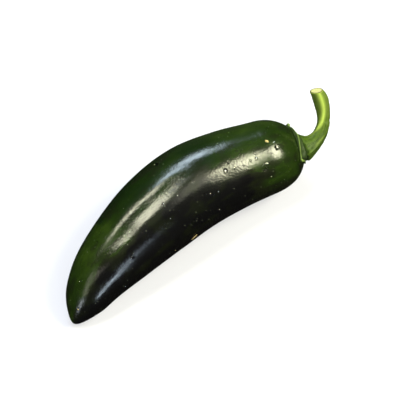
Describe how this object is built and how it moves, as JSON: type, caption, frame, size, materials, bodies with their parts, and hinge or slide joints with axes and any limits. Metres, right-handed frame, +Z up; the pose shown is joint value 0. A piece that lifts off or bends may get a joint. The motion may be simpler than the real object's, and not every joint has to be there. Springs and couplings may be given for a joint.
{
  "type": "jalapeno pepper",
  "caption": "Jalapeno pepper as picked, lying on its side: a curved pod with a blunt tip, and a hooked stem on a small calyx.",
  "frame": {"origin": "under the middle of the pepper's bounding box, on the surface that it lies on", "axes": "+X from the pod's tip to its stem, +Y the side towards which the pod arches and the stem hooks, +Z up from the surface it lies on"},
  "size_m": [0.11, 0.0336, 0.0285],
  "materials": {
    "pod_skin": "glossy waxy skin, dark green turning purple-black on one side",
    "stem_skin": "satin green stem, grey-green calyx, pale cut end"
  },
  "bodies": {
    "root": {"pod": "pod_skin", "stem": "stem_skin"}
  },
  "joints": []
}
